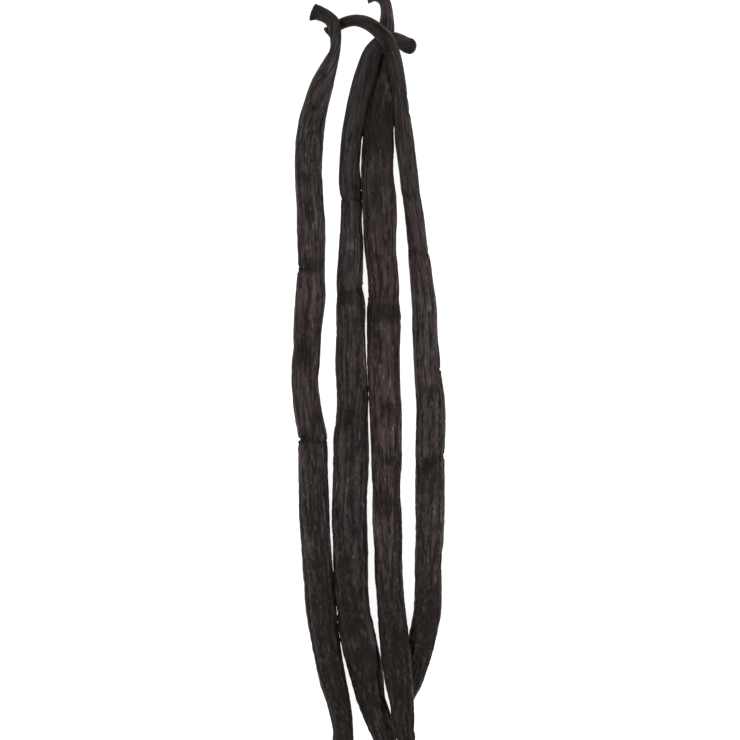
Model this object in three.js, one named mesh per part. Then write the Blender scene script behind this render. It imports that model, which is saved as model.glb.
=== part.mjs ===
// Four cured vanilla pods lying together on a table: long flattened pods that narrow into
// hooked stems at one end, where they cross, and into blunt blossom ends at the other.
// Millimetres, +Z up. The table is z = 0, and the stems point to +Y.
import * as THREE from "three";
import { mergeVertices } from "three/addons/utils/BufferGeometryUtils.js";

// Section of a pod: an oval, nearly round where the pod is thin and flattened where it is wide.
const NECK_ROUNDNESS = 0.76; // thickness over width, the most that any section has
const FLESH_BASE = 1.2; // a wide section is as thick as this...
const FLESH_SHARE = 0.45; // ...and this share of its width
const TABLE_FLAT = 0.22; // how far the underside settles flat on the table

// Long furrows round the skin, cut into a section that is swollen enough for the ridges between
// them to reach the pod's width. Depth is a share of the section's half size, and turns are how
// often a furrow winds round the pod between its ends. The table presses the underside smooth.
const FURROWS = [
  { count: 3, depth: 0.06, turns: 0.3 },
  { count: 7, depth: 0.07, turns: -0.15 },
  { count: 10, depth: 0.07, turns: 0.1 },
];
const SWOLLEN = 1.05;
const PRESSED_DEPTH = 0.15; // depth left in the underside, as a share of the depth on top

// The two ends, from the middle of the end face outwards: [distance in from the very end,
// share of the section's size].
const STEM_SCAR = [
  [0.45, 0],
  [0.25, 0.6],
  [0, 0.9],
  [0.5, 1],
];
const BLOSSOM_SCAR = [
  [0.35, 0],
  [0.1, 0.55],
  [0.25, 0.85],
  [1.0, 1],
];

// Fineness of the solids.
const SIDES = 32;
const HOOK_REACH = 26; // the hooked stretch, where rings are closer
const HOOK_STEP = 1.9;
const BODY_STEP = 6.2;
const SLOPE_STEP = 0.1;

// Sides of a section, as angles round it.
const RIGHT = 0;
const TOP = Math.PI / 2;
const LEFT = Math.PI;

// Middle of the four pods' box on the table, which becomes the origin.
const MIDDLE = { x: -0.14, y: 0.53 };

// Each pod's line runs from its stem scar to its blossom end, in rows of
// [x, y, lift of the underside off the table, width].
// A fold is where a pod was bent: its y, the side that it bites into, its depth as a share of the
// section's half size, and its reach along the pod.
const PODS = [
  {
    name: "pod_outer_left",
    colour: 0x342e2d,
    furrowStart: 0.4,
    line: [
      [-13.95, 89.65, 0.3, 4.0],
      [-12.3, 89.05, 1.1, 3.4],
      [-10.35, 88.0, 2.0, 2.95],
      [-9.0, 86.4, 2.6, 2.9],
      [-8.4, 84.2, 2.6, 2.95],
      [-8.35, 81.0, 1.8, 2.6],
      [-9.0, 78.4, 0.9, 3.2],
      [-10.25, 75.2, 0.2, 4.4],
      [-11.5, 72.0, 0, 5.5],
      [-14.15, 62.5, 0, 6.3],
      [-15.05, 54.5, 0, 6.65],
      [-15.2, 49.5, 0, 6.5],
      [-14.95, 44.5, 0, 6.6],
      [-14.5, 36.0, 0, 6.9],
      [-14.4, 27.0, 0, 6.65],
      [-14.55, 22.5, 0, 6.95],
      [-14.7, 17.5, 0, 7.4],
      [-15.3, 10.5, 0, 6.95],
      [-15.45, 6.0, 0, 6.6],
      [-15.8, 1.8, 0, 6.75],
      [-15.95, -2.8, 0, 6.35],
      [-15.35, -9.0, 0, 6.65],
      [-14.05, -17.5, 0, 7.1],
      [-13.95, -26.0, 0, 7.15],
      [-13.75, -34.0, 0, 7.35],
      [-13.15, -45.0, 0, 7.05],
      [-12.75, -51.0, 0, 7.2],
      [-11.75, -61.5, 0, 7.3],
      [-11.05, -66.5, 0, 7.05],
      [-10.3, -71.0, 0, 6.95],
      [-9.05, -77.5, 0, 6.7],
      [-7.65, -82.5, 0, 6.0],
      [-6.5, -89.5, 0, 4.95],
      [-6.45, -93.3, 0, 5.35],
    ],
    folds: [
      { y: 25.2, side: LEFT, depth: 0.2, reach: 1.6 },
      { y: -16.7, side: LEFT, depth: 0.22, reach: 1.5 },
    ],
  },
  {
    name: "pod_inner_left",
    colour: 0x302b29,
    furrowStart: 1.7,
    line: [
      [11.75, 80.6, 0.45, 2.0],
      [11.2, 80.75, 0.2, 3.4],
      [10.3, 81.05, 0.25, 4.1],
      [9.2, 81.5, 0.7, 3.9],
      [7.9, 82.15, 1.8, 3.65],
      [6.0, 82.7, 2.8, 3.5],
      [4.1, 82.4, 3.1, 3.7],
      [2.3, 81.0, 2.8, 4.2],
      [0.85, 78.8, 2.1, 4.7],
      [-0.65, 73.5, 1.3, 5.9],
      [-2.3, 67.5, 0.6, 5.75],
      [-3.45, 62.0, 0.2, 5.65],
      [-4.2, 58.0, 0, 5.4],
      [-4.75, 50.5, 0, 5.15],
      [-4.4, 42.0, 0, 5.3],
      [-4.35, 36.5, 0, 5.25],
      [-4.35, 31.0, 0, 6.0],
      [-4.78, 22.5, 0, 6.4],
      [-4.55, 18.5, 0, 6.6],
      [-4.52, 15.0, 0, 7.0],
      [-4.43, 9.5, 0, 6.8],
      [-4.53, 2.0, 0, 7.45],
      [-4.12, -7.5, 0, 7.6],
      [-4.35, -15.0, 0, 8.5],
      [-4.42, -20.5, 0, 8.7],
      [-4.62, -28.0, 0, 8.35],
      [-4.9, -36.0, 0, 8.65],
      [-4.5, -44.0, 0, 8.6],
      [-4.33, -54.5, 0, 8.25],
      [-3.47, -62.0, 0, 8.25],
      [-2.4, -68.0, 0, 8.7],
      [-1.35, -73.0, 0, 8.65],
      [-0.35, -77.5, 0, 8.1],
      [0.52, -82.0, 0, 7.05],
      [2.2, -87.3, 0, 6.4],
      [4.6, -94.0, 0, 4.9],
    ],
    folds: [
      { y: 20.2, side: RIGHT, depth: 0.14, reach: 1.6 },
      { y: -11.5, side: LEFT, depth: 0.14, reach: 2.4 },
    ],
  },
  {
    name: "pod_inner_right",
    colour: 0x352f2b,
    furrowStart: 3.1,
    line: [
      [-0.5, 93.6, 0.1, 3.9],
      [1.3, 94.0, 0, 3.3],
      [3.0, 93.4, 0, 3.1],
      [4.05, 92.0, 0, 2.9],
      [4.5, 89.6, 0, 3.1],
      [4.5, 86.2, 0, 3.85],
      [4.5, 81.0, 0, 3.5],
      [4.7, 76.5, 0, 3.7],
      [4.3, 72.0, 0, 4.3],
      [3.25, 66.5, 0, 5.25],
      [2.82, 61.25, 0, 6.45],
      [2.27, 56.0, 0, 7.8],
      [2.3, 50.0, 0, 7.75],
      [2.68, 43.0, 0, 8.4],
      [2.82, 38.0, 0, 8.3],
      [2.8, 33.0, 0, 8.05],
      [3.05, 28.5, 0, 7.7],
      [3.75, 21.5, 0, 7.5],
      [3.6, 17.0, 0, 7.85],
      [3.72, 12.5, 0, 8.5],
      [3.65, 3.0, 0, 8.0],
      [3.9, -3.5, 0, 7.85],
      [4.2, -8.5, 0, 7.95],
      [4.27, -12.0, 0, 7.85],
      [4.35, -17.5, 0, 7.6],
      [4.5, -22.5, 0, 7.25],
      [4.38, -31.0, 0, 6.85],
      [4.5, -36.0, 0, 7.2],
      [4.85, -43.5, 0, 6.8],
      [4.95, -49.5, 0.1, 6.75],
      [5.35, -56.5, 0.7, 6.7],
      [5.85, -61.5, 1.3, 6.9],
      [6.8, -71.0, 3.5, 7.3],
      [7.45, -77.0, 4.2, 6.9],
      [7.9, -80.0, 4.3, 6.4],
      [8.28, -83.5, 4.2, 5.85],
      [8.5, -87.0, 4.0, 5.6],
      [8.8, -90.3, 3.6, 5.0],
      [8.95, -92.3, 3.2, 4.7],
    ],
    folds: [
      { y: 46.5, side: TOP, depth: 0.16, reach: 1.6 },
      { y: 18.0, side: LEFT, depth: 0.12, reach: 1.8 },
    ],
  },
  {
    name: "pod_outer_right",
    colour: 0x3a3431,
    furrowStart: 5.2,
    line: [
      [-10.7, 84.3, 0, 2.6],
      [-8.9, 85.5, 0, 2.6],
      [-6.5, 86.85, 0.6, 2.75],
      [-3.5, 87.4, 2.0, 2.95],
      [-0.6, 86.6, 3.9, 3.35],
      [2.1, 84.65, 5.7, 3.6],
      [4.5, 81.9, 6.2, 3.8],
      [6.1, 78.0, 5.0, 3.8],
      [7.35, 72.0, 3.1, 3.7],
      [8.08, 66.0, 1.6, 3.85],
      [8.95, 57.5, 0.2, 4.65],
      [9.85, 50.0, 0, 4.4],
      [10.35, 45.5, 0, 4.45],
      [11.5, 38.0, 0, 4.6],
      [12.08, 32.0, 0, 4.85],
      [12.7, 27.3, 0, 5.4],
      [13.27, 22.5, 0, 5.5],
      [13.9, 16.0, 0, 6.05],
      [14.1, 8.5, 0, 6.25],
      [14.8, -1.5, 0, 6.7],
      [15.4, -7.5, 0, 6.85],
      [15.5, -13.0, 0, 7.05],
      [15.4, -20.0, 0, 7.15],
      [15.35, -28.0, 0, 7.3],
      [15.3, -33.0, 0, 7.3],
      [15.25, -38.0, 0, 7.0],
      [15.2, -42.5, 0, 6.85],
      [14.9, -46.0, 0, 6.55],
      [14.85, -50.0, 0, 6.45],
      [14.68, -60.5, 0, 6.8],
      [14.1, -63.5, 0, 6.9],
      [12.7, -70.0, 0, 6.75],
      [9.95, -78.5, 0, 6.2],
      [7.7, -84.2, 0, 4.4],
    ],
    folds: [
      { y: 29.3, side: RIGHT, depth: 0.12, reach: 1.3 },
      { y: 0.2, side: RIGHT, depth: 0.12, reach: 1.5 },
      { y: -21.3, side: RIGHT, depth: 0.16, reach: 1.5 },
    ],
  },
];

// A smooth curve through rows of numbers, by distance along the table in millimetres.
class PodLine {
  constructor(rows) {
    this.rows = rows;
    this.knots = [0];
    for (let i = 1; i < rows.length; i++) {
      const step = Math.hypot(rows[i][0] - rows[i - 1][0], rows[i][1] - rows[i - 1][1]);
      this.knots.push(this.knots[i - 1] + step);
    }
    this.length = this.knots.at(-1);
  }

  slope(i, column) {
    const before = Math.max(i - 1, 0);
    const after = Math.min(i + 1, this.rows.length - 1);
    const change = this.rows[after][column] - this.rows[before][column];
    return change / (this.knots[after] - this.knots[before]);
  }

  // The row at a distance along the line, by cubic Hermite interpolation.
  at(distance) {
    const next = Math.max(1, this.knots.findIndex((knot) => knot >= distance));
    const here = next - 1;
    const gap = this.knots[next] - this.knots[here];
    const t = (distance - this.knots[here]) / gap;
    return this.rows[here].map((value, column) => {
      const eased = value + (this.rows[next][column] - value) * t * t * (3 - 2 * t);
      const leaving = this.slope(here, column) * t * (1 - t) * (1 - t);
      const arriving = this.slope(next, column) * t * t * (t - 1);
      return eased + gap * (leaving + arriving);
    });
  }

  // How far along the line the pod's body, below its hook, passes a given y.
  distanceAtY(y) {
    const next = this.rows.findLastIndex((row) => row[1] > y) + 1;
    const [above, below] = [this.rows[next - 1][1], this.rows[next][1]];
    const share = (above - y) / (above - below);
    return THREE.MathUtils.lerp(this.knots[next - 1], this.knots[next], share);
  }
}

function thicknessOf(width) {
  return Math.min(NECK_ROUNDNESS * width, FLESH_BASE + FLESH_SHARE * width);
}

// The section's middle, directions and half sizes at a distance along the line.
function sectionAt(line, distance) {
  const middleAt = (s) => {
    const [x, y, lift, width] = line.at(THREE.MathUtils.clamp(s, 0, line.length));
    return new THREE.Vector3(x, y, thicknessOf(width) / 2 + lift - TABLE_FLAT);
  };
  const width = line.at(distance)[3];
  const along = middleAt(distance + SLOPE_STEP).sub(middleAt(distance - SLOPE_STEP)).normalize();
  const across = new THREE.Vector3(0, 0, 1).cross(along).normalize();
  const up = along.clone().cross(across);
  return { middle: middleAt(distance), across, up, wide: width / 2, high: thicknessOf(width) / 2 };
}

// How far the skin stands out at an angle round the section, as a share of the smooth oval.
function skinShare(pod, line, distance, angle) {
  const progress = distance / line.length;
  const open = THREE.MathUtils.lerp(PRESSED_DEPTH, 1, 0.5 + 0.5 * Math.sin(angle));
  let share = SWOLLEN;
  for (const { count, depth, turns } of FURROWS) {
    const turned = angle + pod.furrowStart + 2 * Math.PI * turns * progress;
    share -= open * depth * (0.5 + 0.5 * Math.cos(count * turned));
  }
  for (const { y, side, depth, reach } of pod.folds) {
    const away = (distance - line.distanceAtY(y)) / reach;
    const facing = 0.5 + 0.5 * Math.cos(angle - side);
    share -= (depth * facing) / (1 + away ** 4);
  }
  return share;
}

// Distances along the line of the rings between the two ends, with three for each fold.
function innerRings(pod, line) {
  const last = line.length - BLOSSOM_SCAR.at(-1)[0];
  const folds = pod.folds.map(({ y, reach }) => ({ at: line.distanceAtY(y), reach }));
  const rings = folds.flatMap(({ at, reach }) => [at - reach, at, at + reach]);
  let s = STEM_SCAR.at(-1)[0] + HOOK_STEP;
  while (last - s > HOOK_STEP) {
    const free = folds.every(({ at, reach }) => Math.abs(s - at) > reach + HOOK_STEP);
    if (free) rings.push(s);
    s += s < HOOK_REACH ? HOOK_STEP : BODY_STEP;
  }
  return rings.sort((a, b) => a - b);
}

// All rings of a pod, end face to end face, each with its share of the section's size.
function ringsOf(pod, line) {
  const blossom = BLOSSOM_SCAR.toReversed();
  return [
    ...STEM_SCAR.map(([inset, share]) => ({ distance: inset, share })),
    ...innerRings(pod, line).map((distance) => ({ distance, share: 1 })),
    ...blossom.map(([inset, share]) => ({ distance: line.length - inset, share })),
  ];
}

// A sphere drawn out along the pod's line: its poles become the middles of the end faces.
function podGeometry(pod) {
  const line = new PodLine(pod.line);
  const rings = ringsOf(pod, line);
  const geometry = new THREE.SphereGeometry(1, SIDES, rings.length - 1);
  const position = geometry.getAttribute("position");
  rings.forEach(({ distance, share }, ring) => {
    const { middle, across, up, wide, high } = sectionAt(line, distance);
    for (let side = 0; side <= SIDES; side++) {
      const angle = Math.PI - (2 * Math.PI * (side % SIDES)) / SIDES;
      const out = share * skinShare(pod, line, distance, angle);
      const point = middle
        .clone()
        .addScaledVector(across, out * wide * Math.cos(angle))
        .addScaledVector(up, out * high * Math.sin(angle));
      position.setXYZ(ring * (SIDES + 1) + side, point.x, point.y, Math.max(point.z, 0));
    }
  });
  geometry.deleteAttribute("uv");
  geometry.deleteAttribute("normal");
  const closed = mergeVertices(geometry);
  closed.computeVertexNormals();
  return closed;
}

const bundle = new THREE.Group();
bundle.position.set(-MIDDLE.x, -MIDDLE.y, 0);
for (const pod of PODS) {
  const skin = new THREE.MeshStandardMaterial({ color: pod.colour, roughness: 0.5, metalness: 0 });
  const mesh = new THREE.Mesh(podGeometry(pod), skin);
  mesh.name = pod.name;
  bundle.add(mesh);
}

export default bundle;
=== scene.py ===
"""Four cured vanilla pods lying together on a table, with their hooked stems crossed at one end.

Tables are in millimetres and Blender works in metres. The table is z = 0 and stems point to +Y.
Each pod has one line, from its stem scar to its blossom end, and a Geometry Nodes tree grows the
ridged skin round that line. Folds, stains and worn patches are listed for each pod; among the
stains are painted shade and a painted glow of light through thin edges, and among the worn
patches painted highlights.
"""

import math
from bisect import bisect_left
from collections import namedtuple

import bpy
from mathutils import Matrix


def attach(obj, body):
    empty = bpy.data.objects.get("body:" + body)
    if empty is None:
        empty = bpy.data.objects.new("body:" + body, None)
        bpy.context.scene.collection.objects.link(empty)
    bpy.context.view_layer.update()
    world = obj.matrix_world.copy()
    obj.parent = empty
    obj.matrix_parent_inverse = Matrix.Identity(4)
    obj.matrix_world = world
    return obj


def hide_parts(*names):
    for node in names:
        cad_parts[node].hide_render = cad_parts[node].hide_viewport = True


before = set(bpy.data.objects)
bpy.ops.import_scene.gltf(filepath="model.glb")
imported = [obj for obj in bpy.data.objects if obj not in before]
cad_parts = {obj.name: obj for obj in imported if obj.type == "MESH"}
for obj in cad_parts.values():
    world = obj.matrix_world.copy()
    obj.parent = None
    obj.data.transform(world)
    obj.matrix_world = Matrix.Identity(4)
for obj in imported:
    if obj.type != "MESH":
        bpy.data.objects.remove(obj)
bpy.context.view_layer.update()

MM = 0.001
MIDDLE = (-0.14, 0.53)  # middle of the four pods' box on the table, which becomes the origin

# Section of a pod: an oval, nearly round where the pod is thin and flattened where it is wide.
NECK_ROUNDNESS = 0.76  # thickness over width, the most that any section has
FLESH_BASE = 1.2  # a wide section is as thick as this...
FLESH_SHARE = 0.45  # ...and this share of its width
TABLE_FLAT = 0.22  # how far the underside settles flat on the table

LINE_STEP = 0.25  # between the points of a pod's line
RIDGED_WIDTH = 7.0  # a pod this wide or wider has ridges of full depth
LEAST_RIDGES = 0.32  # share of that depth on the thinnest part
SMOOTH_NECK = 0.4  # share of the ridges that is left on the smooth neck next to the stem's end
NECK_FADE = 7.0  # the stretch over which the ridges grow to their full depth
HOOK_TURN_REACH = 30.0  # the hooked stretch, where the grain winds more than on the body

LANES = 7  # strips across a pod, from its left edge to its right one, in which its marks are given
ALL_ROUND = 9.0  # the spread of a mark that goes right across

# A mark on a pod: the y of its middle, where it is across (-1 is the left edge and 1 the right
# one), its strength, its reach along the pod, its spread across, and how much further down the
# pod it lies at the right edge than in the middle. A fold's strength is its depth.
Mark = namedtuple("Mark", "y across strength reach spread slant", defaults=(ALL_ROUND, 0.0))

# A mark on the hooked neck has its distance from the stem's end instead of its y.
NeckMark = namedtuple(
    "NeckMark", "distance across strength reach spread slant", defaults=(ALL_ROUND, 0.0)
)

# The skin's tone at a y: how light it is, partly its own tone and partly painted shade, how warm,
# from 0 for an ashen brown to 1 for rust, and how strong its streaks are.
Tone = namedtuple("Tone", "y light warm streaks")

# line: rows of [x, y, lift of the underside off the table, width].
# turns: how often the grain winds round the body, and round the hooked stretch.
# neck: the length of the smooth neck, from the stem's end.
# scar_slant: how far a stem's cut end is cut back on its right side, and let out on its left.
# tip_slant: how far the blossom end is cut back on top, and let out below.
# The dark marks are dark stains mixed with painted shade. The amber marks are a painted glow of light
# through a thin edge, and the pale marks are pale wear mixed with painted highlights.
Pod = namedtuple(
    "Pod", "name node seed turns neck scar_slant tip_slant line tones folds dark amber pale"
)

OUTER_LEFT = Pod(
    name="outer_left_pod",
    node="pod_outer_left",
    seed=3.0,
    turns=(0.12, 0.6),
    neck=0.0,
    scar_slant=0.5,
    tip_slant=0.0,
    line=[
        (-14.25, 89.6, 0.3, 4.6),
        (-12.5, 89.3, 1.0, 3.8),
        (-10.2, 88.1, 2.0, 3.3),
        (-8.95, 86.6, 2.6, 3.3),
        (-8.4, 84.2, 2.6, 2.95),
        (-8.35, 81.0, 1.8, 2.6),
        (-9.0, 78.4, 0.9, 3.2),
        (-10.25, 75.2, 0.2, 4.4),
        (-11.5, 72.0, 0, 5.5),
        (-14.15, 62.5, 0, 6.3),
        (-15.05, 54.5, 0, 6.65),
        (-15.2, 49.5, 0, 6.5),
        (-14.95, 44.5, 0, 6.6),
        (-14.5, 36.0, 0, 6.9),
        (-14.4, 27.0, 0, 6.65),
        (-14.55, 22.5, 0, 6.95),
        (-14.7, 17.5, 0, 7.4),
        (-15.3, 10.5, 0, 6.95),
        (-15.45, 6.0, 0, 6.6),
        (-15.8, 1.8, 0, 6.75),
        (-15.95, -2.8, 0, 6.35),
        (-15.35, -9.0, 0, 6.65),
        (-14.05, -17.5, 0, 7.1),
        (-13.95, -26.0, 0, 7.15),
        (-13.75, -34.0, 0, 7.35),
        (-13.15, -45.0, 0, 7.05),
        (-12.65, -51.0, 0, 7.4),
        (-11.67, -61.5, 0, 7.45),
        (-10.97, -66.5, 0, 7.2),
        (-10.3, -71.0, 0, 6.95),
        (-9.05, -77.5, 0, 6.7),
        (-7.65, -82.5, 0, 6.0),
        (-6.5, -89.5, 0, 4.95),
        (-6.45, -93.3, 0, 5.35),
    ],
    tones=[
        Tone(84.0, 1.1, 0.2, 1.0),
        Tone(60.0, 1.2, 0.15, 0.85),
        Tone(32.0, 1.2, 0.45, 1.0),
        Tone(5.0, 1.3, 0.8, 0.9),
        Tone(-22.0, 1.02, 0.25, 0.9),
        Tone(-55.0, 1.12, 0.2, 0.95),
        Tone(-80.0, 1.08, 0.2, 1.0),
    ],
    folds=[
        NeckMark(1.3, -1.0, 0.4, 0.5, 0.4),
        NeckMark(8.6, -1.0, 0.3, 0.7, 0.6),
        NeckMark(13.3, -1.0, 0.35, 0.6, 0.5),
        Mark(65.7, -0.1, 0.45, 0.6, 0.3),
        Mark(48.2, -0.3, 0.25, 0.6, 0.6),
        Mark(25.3, -1.0, 0.85, 0.8, 0.4),
        Mark(25.5, 0.1, 0.3, 0.6, 0.8, -0.6),
        Mark(4.5, -0.1, 0.25, 1.0, 0.7, 0.8),
        Mark(-12.0, 0.6, 0.3, 0.7, 0.35),
        Mark(-16.8, -1.0, 0.75, 0.8, 0.4),
        Mark(-17.7, 0.0, 0.35, 0.6, ALL_ROUND, 0.8),
    ],
    dark=[
        NeckMark(2.5, 0.0, 0.45, 4.0),
        NeckMark(0.6, -0.8, 0.5, 1.0, 0.5),
        Mark(61.2, -0.1, 0.8, 2.8, 0.13),
        Mark(65.7, -0.1, 0.8, 0.8, 0.3),
        Mark(47.9, -0.35, 0.6, 1.3, 0.6),
        Mark(26.6, 0.2, 0.6, 1.4, 0.9),
        Mark(3.4, -0.15, 0.8, 2.7, 0.65),
        Mark(-12.0, 0.6, 0.6, 1.5, 0.4),
        Mark(-17.7, 0.0, 0.6, 1.0, ALL_ROUND, 0.8),
        Mark(-72.0, 0.0, 0.5, 20.0),
    ],
    amber=[],
    pale=[
        # Painted silvery highlights on the twisted neck.
        NeckMark(11.3, 0.2, 0.7, 1.6, 0.4),
        NeckMark(16.0, 0.3, 0.7, 2.4, 0.3),
        Mark(73.5, 0.6, 0.5, 3.5, 0.3),
        Mark(36.3, 0.55, 0.4, 2.6, 0.35),
        Mark(20.0, -0.2, 0.2, 3.5, 0.8),
    ],
)

INNER_LEFT = Pod(
    name="inner_left_pod",
    node="pod_inner_left",
    seed=11.0,
    turns=(-0.1, -0.3),
    neck=30.0,
    scar_slant=0.0,
    tip_slant=0.0,
    line=[
        (11.75, 80.6, 0.45, 2.0),
        (11.2, 80.75, 0.2, 3.4),
        (10.3, 81.05, 0.25, 4.1),
        (9.2, 81.5, 0.7, 3.9),
        (7.9, 82.15, 1.8, 3.65),
        (6.0, 82.7, 2.8, 3.5),
        (4.1, 82.4, 3.1, 3.7),
        (2.3, 81.0, 2.8, 4.2),
        (0.6, 78.8, 2.1, 4.4),
        (-0.8, 73.5, 1.3, 5.7),
        (-2.45, 67.5, 0.6, 5.5),
        (-3.5, 62.0, 0.2, 5.6),
        (-4.32, 58.0, 0, 5.15),
        (-4.63, 55.0, 0, 5.1),
        (-4.88, 50.5, 0, 5.1),
        (-4.68, 46.5, 0, 5.5),
        (-4.3, 42.0, 0, 5.2),
        (-4.35, 36.5, 0, 5.25),
        (-4.35, 31.0, 0, 6.0),
        (-4.78, 22.5, 0, 6.4),
        (-4.55, 18.5, 0, 6.6),
        (-4.52, 15.0, 0, 7.0),
        (-4.43, 9.5, 0, 6.8),
        (-4.53, 2.0, 0, 7.45),
        (-4.12, -7.5, 0, 7.6),
        (-4.35, -15.0, 0, 8.5),
        (-4.42, -20.5, 0, 8.7),
        (-4.62, -28.0, 0, 8.35),
        (-4.9, -36.0, 0, 8.65),
        (-4.57, -44.0, 0, 8.7),
        (-4.45, -54.5, 0, 8.45),
        (-3.73, -60.2, 0, 8.05),
        (-3.5, -62.3, 0, 8.35),
        (-2.45, -68.0, 0, 8.8),
        (-1.35, -73.0, 0, 8.65),
        (-0.35, -77.5, 0, 8.1),
        (0.52, -82.0, 0, 7.05),
        (2.3, -87.3, 0, 6.6),
        (4.65, -94.0, 0, 5.1),
    ],
    tones=[
        Tone(80.0, 0.88, 0.1, 0.5),
        Tone(66.0, 0.88, 0.1, 0.6),
        Tone(54.0, 1.05, 0.1, 0.9),
        Tone(33.0, 0.97, 0.2, 0.85),
        Tone(8.0, 1.2, 0.5, 0.6),
        Tone(-22.0, 1.0, 0.2, 0.8),
        Tone(-55.0, 1.04, 0.1, 1.0),
        Tone(-80.0, 1.25, 0.1, 1.1),
    ],
    folds=[
        NeckMark(1.5, 0.8, 0.3, 0.4, 1.0),
        Mark(46.2, 0.6, 0.35, 0.6, 0.6, 1.5),
        Mark(43.2, 0.5, 0.35, 0.6, 0.6, 1.5),
        Mark(43.0, -1.0, 0.4, 0.8, 0.4),
        Mark(20.2, 1.0, 0.75, 0.9, 0.4),
        Mark(19.0, -0.3, 0.25, 0.7, 0.6),
        Mark(-10.6, -0.25, 0.45, 0.5, 0.35, 2.5),
        Mark(-13.4, -0.2, 0.45, 0.8, 0.3),
        Mark(-13.6, -1.0, 0.25, 0.9, 0.4),
        Mark(-41.2, -1.0, 0.25, 0.8, 0.4),
    ],
    dark=[
        NeckMark(1.5, 0.0, 0.5, 0.4),
        NeckMark(4.0, 0.2, 0.4, 4.5),
        # Painted shade on the right flank, beside the inner right pod.
        Mark(71.0, 1.0, 0.5, 12.0, 0.6),
        Mark(44.3, 0.6, 0.6, 2.6, 0.6),
        Mark(18.2, -0.4, 0.8, 1.9, 0.55),
        Mark(-12.3, -0.25, 0.7, 2.2, 0.35),
        Mark(-72.0, 0.0, 0.5, 20.0),
    ],
    amber=[],
    pale=[
        NeckMark(4.5, -0.5, 0.5, 1.4, 0.3),
        Mark(66.0, -0.7, 0.25, 13.0, 0.5),
        Mark(31.0, 0.0, 1.5, 0.9, 0.3),
        Mark(15.2, -0.1, 0.35, 0.8, 0.6),
        Mark(35.0, -0.8, 0.3, 3.0, 0.3),
        # Painted light that fills the shadow which the raised inner right pod casts on this right
        # flank.
        Mark(-78.0, 0.95, 1.0, 13.0, 0.4),
    ],
)

INNER_RIGHT = Pod(
    name="inner_right_pod",
    node="pod_inner_right",
    seed=23.0,
    turns=(0.06, 0.1),
    neck=20.0,
    scar_slant=0.3,
    tip_slant=0.4,
    line=[
        (-0.5, 93.6, 0.1, 3.9),
        (1.3, 94.0, 0, 3.3),
        (3.0, 93.4, 0, 3.1),
        (4.05, 92.0, 0, 2.9),
        (4.5, 89.6, 0, 3.1),
        (4.5, 86.2, 0, 3.85),
        (4.5, 81.0, 0, 3.5),
        (4.4, 76.5, 0, 4.6),
        (3.8, 72.0, 0, 5.5),
        (2.95, 66.5, 0, 6.7),
        (2.42, 61.25, 0, 7.42),
        (2.38, 56.0, 0, 7.76),
        (2.16, 50.0, 0, 7.85),
        (2.62, 43.0, 0, 8.45),
        (2.82, 38.0, 0, 8.3),
        (2.8, 33.0, 0, 8.05),
        (3.05, 28.5, 0, 7.7),
        (3.75, 21.5, 0, 7.5),
        (3.6, 17.0, 0, 7.85),
        (3.72, 12.5, 0, 8.5),
        (3.65, 3.0, 0, 8.0),
        (3.9, -3.5, 0, 7.85),
        (4.2, -8.5, 0, 7.95),
        (4.27, -12.0, 0, 7.85),
        (4.35, -17.5, 0, 7.6),
        (4.5, -22.5, 0, 7.25),
        (4.38, -31.0, 0, 6.85),
        (4.5, -36.0, 0, 7.2),
        (4.85, -43.5, 0, 6.8),
        (4.95, -49.5, 0.1, 6.75),
        (5.35, -56.5, 0.7, 6.7),
        (5.85, -61.5, 1.3, 6.9),
        (6.8, -71.0, 3.5, 7.3),
        (7.45, -77.0, 4.2, 6.9),
        (7.9, -80.0, 4.3, 6.4),
        (8.28, -83.5, 4.2, 5.85),
        (8.5, -87.0, 4.0, 5.6),
        (8.8, -90.2, 3.6, 4.8),
        (9.25, -91.6, 3.4, 4.6),
        (9.3, -93.2, 3.2, 4.2),
    ],
    tones=[
        Tone(84.0, 1.2, 0.4, 0.9),
        Tone(72.0, 0.9, 0.35, 0.9),
        # Painted shade where the pod lies low between its neighbours.
        Tone(62.0, 0.58, 0.35, 1.0),
        Tone(50.0, 0.8, 0.45, 1.0),
        Tone(33.0, 0.95, 0.75, 0.85),
        Tone(8.0, 1.18, 1.0, 0.85),
        Tone(-22.0, 1.38, 0.95, 0.75),
        Tone(-52.0, 1.38, 0.6, 0.95),
        Tone(-80.0, 0.95, 0.4, 1.0),
    ],
    folds=[
        Mark(46.4, 0.2, 0.2, 1.0, 0.8),
        Mark(18.0, -1.0, 0.4, 1.2, 0.4),
        Mark(12.0, 0.0, 0.15, 0.8),
        Mark(-9.2, 0.2, 0.35, 0.6, 0.35),
        Mark(-22.5, 0.15, 0.55, 0.9, 0.25),
    ],
    dark=[
        # Painted shade on the left flank, under the inner left pod.
        Mark(68.0, -1.0, 0.7, 12.0, 0.5),
        Mark(60.5, 0.0, 0.6, 6.0),
        Mark(47.3, 0.3, 0.4, 1.6, 0.6),
        Mark(14.0, -0.1, 0.75, 2.3),
        Mark(-9.2, 0.2, 0.5, 1.0, 0.35),
        Mark(-22.5, 0.15, 0.5, 1.3, 0.25),
        Mark(-32.5, 0.0, 0.3, 2.4, 0.6),
        Mark(-75.0, 0.0, 0.5, 20.0),
    ],
    # A painted glow of light through the thin right edge.
    amber=[
        Mark(61.5, 0.9, 0.4, 1.2, 0.4),
        Mark(42.0, 1.0, 1.0, 5.5, 0.5),
        Mark(24.0, 1.0, 0.8, 3.2, 0.5),
        Mark(-52.5, 1.0, 0.4, 4.0, 0.5),
    ],
    pale=[
        NeckMark(10.5, 0.1, 0.5, 4.0),
        Mark(73.4, 0.0, 0.6, 0.8, 0.2),
        Mark(71.2, 0.4, 1.0, 0.9, 0.2),
        Mark(68.3, 0.6, 0.6, 1.0, 0.25),
        Mark(10.6, -0.2, 0.5, 0.7, 0.9),
        # A painted highlight.
        Mark(-76.2, 0.6, 0.6, 1.5, 0.14),
    ],
)

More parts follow.
